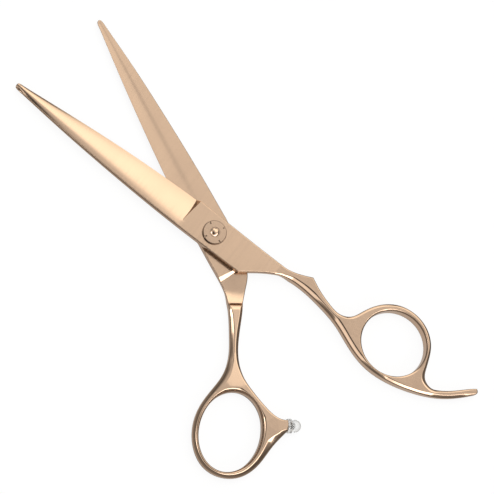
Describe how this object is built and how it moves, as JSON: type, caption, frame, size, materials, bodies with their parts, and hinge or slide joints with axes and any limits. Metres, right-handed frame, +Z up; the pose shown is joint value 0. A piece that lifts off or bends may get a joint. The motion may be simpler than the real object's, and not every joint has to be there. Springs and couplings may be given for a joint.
{
  "type": "hair cutting shears",
  "caption": "Offset-handle hair cutting shears with convex blades, notched tension dial, finger rest and clear thumb ring bumper.",
  "frame": {"origin": "on the pivot axis, in the plane of the flat undersides that the shears rest on", "axes": "+X from the pivot to the tip of the finger blade, +Y towards the thumb ring, +Z up along the pivot axis out of the tension dial"},
  "size_m": [0.1835, 0.1016, 0.0063],
  "materials": {
    "blade_metal": "satin rose gold coating over ground steel",
    "handle_metal": "polished rose gold coating over forged steel",
    "pivot_metal": "polished rose gold coating",
    "clear_bumper": "clear soft plastic",
    "bare_steel": "bright bare steel",
    "bush_bronze": "plain bearing bronze",
    "cage_nylon": "moulded nylon",
    "lock_nylon": "moulded nylon"
  },
  "bodies": {
    "finger_side": {"finger_blade": "blade_metal", "finger_handle": "handle_metal", "pivot_bush": "bush_bronze", "bearing_race_upper": "bare_steel", "thrust_washer": "bare_steel", "spring_washer": "bare_steel"},
    "thumb_side": {"thumb_blade": "blade_metal", "thumb_handle": "handle_metal", "bumper": "clear_bumper", "bumper_peg": "bare_steel", "pivot_stud": "pivot_metal", "bearing_race_lower": "bare_steel"},
    "bearing": {"bearing_cage": "cage_nylon", "bearing_balls": "bare_steel"},
    "dial": {"tension_dial": "pivot_metal", "dial_lock_ring": "lock_nylon"}
  },
  "joints": [
    {"name": "blade_swing", "type": "hinge", "parent": "finger_side", "child": "thumb_side", "pos_m": [0, 0, 0], "axis": [0, 0, 1], "range_deg": [-116, 25.2]},
    {"name": "bearing_roll", "type": "hinge", "parent": "finger_side", "child": "bearing", "pos_m": [0, 0, 0], "axis": [0, 0, 1], "range_deg": [-60, 14]},
    {"name": "dial_turn", "type": "hinge", "parent": "thumb_side", "child": "dial", "pos_m": [0, 0, 0], "axis": [0, 0, 1], "range_deg": [-90, 90]}
  ],
  "couplings": [
    {"joint": "bearing_roll", "follows": "blade_swing", "ratio": 0.5}
  ]
}
